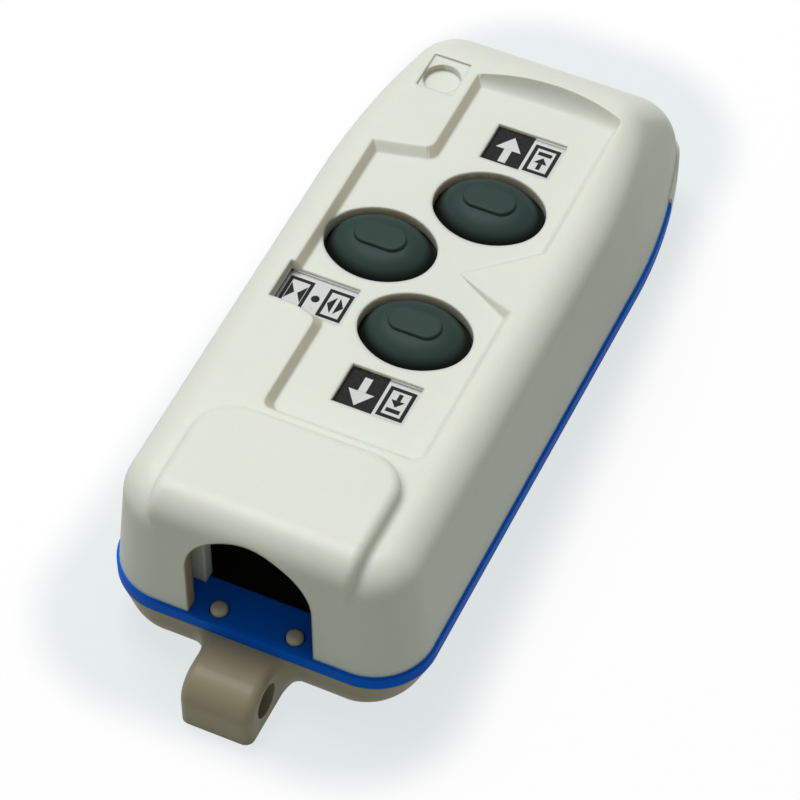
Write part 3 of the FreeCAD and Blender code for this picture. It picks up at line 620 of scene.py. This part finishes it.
def pointer(across, along, middle, tip, foot, half):
    """A triangle from its foot to its tip."""
    down = (tip - along) / (tip - foot)
    foot_gap = (1 - down) * abs(tip - foot)
    return inside(down * half - abs(across - middle), foot_gap, sharpness=INK_SHARPNESS)


def arrow(across, along, middle, tip, foot, half, stem):
    neck = tip + (foot - tip) * POINT_SHARE
    low, high = sorted((neck, foot))
    shaft = bar(across, along, middle - stem / 2, middle + stem / 2, low, high)
    return either(pointer(across, along, middle, tip, neck, half), shaft)


def lift_marks(across, along, way):
    """Left half black with a white arrow, right half white with a boxed bar and arrow."""
    ground = bar(across, along, left=-PAST_EDGE, right=0.5, low=-PAST_EDGE, high=PAST_EDGE)
    white = arrow(across, along, middle=-3.1, tip=3.3 * way, foot=-3.3 * way, half=2.5, stem=1.5)
    box = box_line(across, along, left=1.1, right=6.2, low=-3.5, high=3.5, line=0.75)
    low, high = sorted((1.2 * way, 2.1 * way))
    stop = bar(across, along, left=2.3, right=5.0, low=low, high=high)
    small = arrow(across, along, middle=3.65, tip=0.8 * way, foot=-2.3 * way, half=1.3, stem=0.8)
    return either(ground * (1 - white), box, stop, small)


def raise_marks(across, along):
    return lift_marks(across, along, way=1)


def lower_marks(across, along):
    return lift_marks(across, along, way=-1)


DOOR_NEAR = 0.3
DOOR_FAR = 1.6
DOT_RADIUS = 0.8


def door_marks(across, along):
    """Two boxes with pointers that meet and part, and a dot between."""
    marks = []
    for left, right, parting in ((-6.3, -1.5, False), (1.5, 6.3, True)):
        middle = (left + right) / 2
        marks.append(box_line(across, along, left, right, low=-3.4, high=3.4, line=0.7))
        for side in (-1, 1):
            near = middle + side * DOOR_NEAR
            far = middle + side * DOOR_FAR
            tip, foot = (far, near) if parting else (near, far)
            marks.append(pointer(along, across, 0.0, tip, foot, half=2.0))
    dot = inside(DOT_RADIUS - reach(across, along), sharpness=INK_SHARPNESS)
    return either(*marks, dot)


PER_METRE = 1000
FIBRE_SCALE = 2500
STOCK_DARK = (0.76, 0.77, 0.76)
STOCK_LIGHT = (0.84, 0.85, 0.84)
INK_COLOUR = (0.006, 0.006, 0.007)
INK_COVER = 0.94
STOCK_ROUGH = 0.8
INK_GLOSS = 0.1


def printed_card(name, node, marks):
    material, shader, place = new_finish(name, Specular_IOR_Level=0.04)
    low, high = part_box(node)
    middle = (low + high) / 2
    across = (axis(place, "X") - middle.x) * PER_METRE
    along = (axis(place, "Y") - middle.y) * PER_METRE
    fibre = noise(place, FIBRE_SCALE, detail=3)
    ink = marks(across, along) * (INK_COVER + fibre * (1 - INK_COVER))
    stock = blend(fibre, STOCK_DARK, STOCK_LIGHT)
    blend(ink, stock, INK_COLOUR).into(shader, "Base Color")
    (STOCK_ROUGH - ink * INK_GLOSS).into(shader, "Roughness")
    dress(node, material)


printed_card("raise_card", "label_card_upper", raise_marks)
printed_card("lower_card", "label_card_lower", lower_marks)
printed_card("door_card", "label_card_middle", door_marks)

SMEAR_SCALE = 300
WINDOW_ROUGH = 0.02
WINDOW_SMEAR = 0.05
window_clear, window_shader, window_place = new_finish(
    "window_clear", Transmission_Weight=1.0, IOR=1.45, Specular_IOR_Level=0.2,
)
(noise(window_place, SMEAR_SCALE) * WINDOW_SMEAR + WINDOW_ROUGH).into(window_shader, "Roughness")
shadow_ray = window_place.node("ShaderNodeLightPath", take="Is Shadow Ray")
see_through = window_place.node("ShaderNodeBsdfTransparent")
pane = Wire(window_clear.node_tree, window_shader.outputs["BSDF"])
mixed = window_place.node("ShaderNodeMixShader", None, {0: shadow_ray, 1: pane, 2: see_through})
mixed.into(window_clear.node_tree.nodes["Material Output"], "Surface")
for button in BUTTONS:
    dress(f"label_window_{button}", window_clear)


# Case screws: four pan-head screws, sunk in the back, which close the housing.
# Zinc-plated steel, driven from the back into the cover's inserts.

CASE_SCREWS = [(-0.0205, -0.0476), (0.0205, -0.0476), (-0.016, 0.0544), (0.016, 0.0544)]
driven("case_screws", CASE_SCREWS, head_up=False, width=0.0055, height=0.002, shank=0.003)


# Studio: a plain pale floor with a faint grey-blue painted shadow around the object.
# The floor is white where it is looked at, and greyer where it only throws light back.

WHITE = (1, 1, 1)
FLOOR_HALF = 2.0
FLOOR_HEIGHT = -0.0001
FLOOR_BOUNCE = (0.42, 0.45, 0.4)
FLOOR_GLOW = 0.88
floor_mesh = bpy.data.meshes.new("floor")
corners = [(x * FLOOR_HALF, y * FLOOR_HALF) for x, y in ((-1, -1), (1, -1), (1, 1), (-1, 1))]
floor_mesh.from_pydata([(x, y, FLOOR_HEIGHT) for x, y in corners], [], [(0, 1, 2, 3)])
floor = bpy.data.objects.new("floor", floor_mesh)
bpy.context.scene.collection.objects.link(floor)
floor_paint, floor_shader, floor_place = new_finish("floor_paint", Roughness=0.9)
seeing_rays = ("Is Camera Ray", "Is Glossy Ray", "Is Transmission Ray")
looked_at = either(*(floor_place.node("ShaderNodeLightPath", take=ray) for ray in seeing_rays))
blend(looked_at, FLOOR_BOUNCE, WHITE).into(floor_shader, "Base Color")

# Painted shadow: a grey-blue patch on the floor close around the object, fading to white.
HALO_SHADOW_COLOUR = (0.79, 0.83, 0.845)
HALO_X, HALO_Y = -0.003, 0.014
HALO_HALF_WIDTH, HALO_HALF_LENGTH = 0.015, 0.068
HALO_NEAR, HALO_NARROWING = -0.04, 0.05
HALO_FULL, HALO_END = 0.02, 0.031
floor_x = axis(floor_place, "X")
floor_y = axis(floor_place, "Y")
narrowing = (floor_y - HALO_NEAR) * HALO_NARROWING
beside = (abs(floor_x - HALO_X) + narrowing - HALO_HALF_WIDTH).greater(0.0)
beyond = (abs(floor_y - HALO_Y) - HALO_HALF_LENGTH).greater(0.0)
painted_halo_shadow = floor_place.node("ShaderNodeMapRange", {"interpolation_type": "SMOOTHSTEP"}, {
    "Value": reach(beside, beyond), "From Min": HALO_FULL, "From Max": HALO_END,
    "To Min": 0.0, "To Max": 1.0,
})
pale = blend(painted_halo_shadow, HALO_SHADOW_COLOUR, WHITE)
# The floor's white emission, with the painted shadow around the object.
floor_with_painted_shadow = floor_place.node("ShaderNodeEmission", None, {"Color": pale, "Strength": 1.0})
plain = Wire(floor_paint.node_tree, floor_shader.outputs["BSDF"])
shown = floor_place.node("ShaderNodeMixShader", None, {0: looked_at * FLOOR_GLOW, 1: plain, 2: floor_with_painted_shadow})
shown.into(floor_paint.node_tree.nodes["Material Output"], "Surface")
floor_mesh.materials.append(floor_paint)


# Light: an even, faintly green-white sky and one soft box overhead, to the left of the object.
# The sky fills the shaded sides, and the soft box lights the top.

SKY_COLOUR = (0.95, 1, 0.92, 1)
SKY_STRENGTH = 0.3
world = bpy.data.worlds.new("studio")
world.use_nodes = True
sky = world.node_tree.nodes["Background"]
sky.inputs["Color"].default_value = SKY_COLOUR
sky.inputs["Strength"].default_value = SKY_STRENGTH
bpy.context.scene.world = world

LAMP_SIDE = 0.45
LAMP_WATTS = 7.5
LAMP_PLACE = Vector((-0.26, 0.16, 0.97))
lamp_data = bpy.data.lights.new("soft_box", "AREA")
lamp_data.shape = "RECTANGLE"
lamp_data.size = LAMP_SIDE
lamp_data.size_y = LAMP_SIDE
lamp_data.energy = LAMP_WATTS
lamp = bpy.data.objects.new("soft_box", lamp_data)
bpy.context.scene.collection.objects.link(lamp)
lamp_turn = LAMP_PLACE.to_track_quat("Z", "Y").to_matrix().to_4x4()
lamp.matrix_world = Matrix.Translation(LAMP_PLACE) @ lamp_turn


# Camera: looks down on the object from the near right, where the photograph was taken.
# Its angles, distance and focal length were fitted to the photograph's outline.

AZIMUTH, ELEVATION, ROLL = (math.radians(angle) for angle in (25.24399, 50.94477, -0.41618))
DISTANCE = 0.6698806
FOCAL_PIXELS = 3851.444
PHOTO_PIXELS = 800
AIM_PIXELS = (250.2146, 635.5596)
FRAME_OFFSET = Vector((0, -0.0636, 0.0135))
SENSOR = 36.0
CLIP_START = 0.01
shift_right, shift_down = ((aim - PHOTO_PIXELS / 2) / FOCAL_PIXELS for aim in AIM_PIXELS)
back = Vector((
    math.sin(AZIMUTH) * math.cos(ELEVATION),
    -math.cos(AZIMUTH) * math.cos(ELEVATION),
    math.sin(ELEVATION),
))
level_right = Vector((math.cos(AZIMUTH), math.sin(AZIMUTH), 0))
level_up = back.cross(level_right)
right = math.cos(ROLL) * level_right + math.sin(ROLL) * level_up
up = math.cos(ROLL) * level_up - math.sin(ROLL) * level_right
eye = DISTANCE * (back - right * shift_right + up * shift_down) + FRAME_OFFSET
camera_data = bpy.data.cameras.new("camera")
camera_data.sensor_width = SENSOR
camera_data.lens = FOCAL_PIXELS / PHOTO_PIXELS * SENSOR
camera_data.clip_start = CLIP_START
camera = bpy.data.objects.new("camera", camera_data)
bpy.context.scene.collection.objects.link(camera)
camera.matrix_world = Matrix.Translation(eye) @ Matrix((right, up, back)).transposed().to_4x4()
bpy.context.scene.camera = camera
bpy.context.scene.view_settings.view_transform = "Standard"
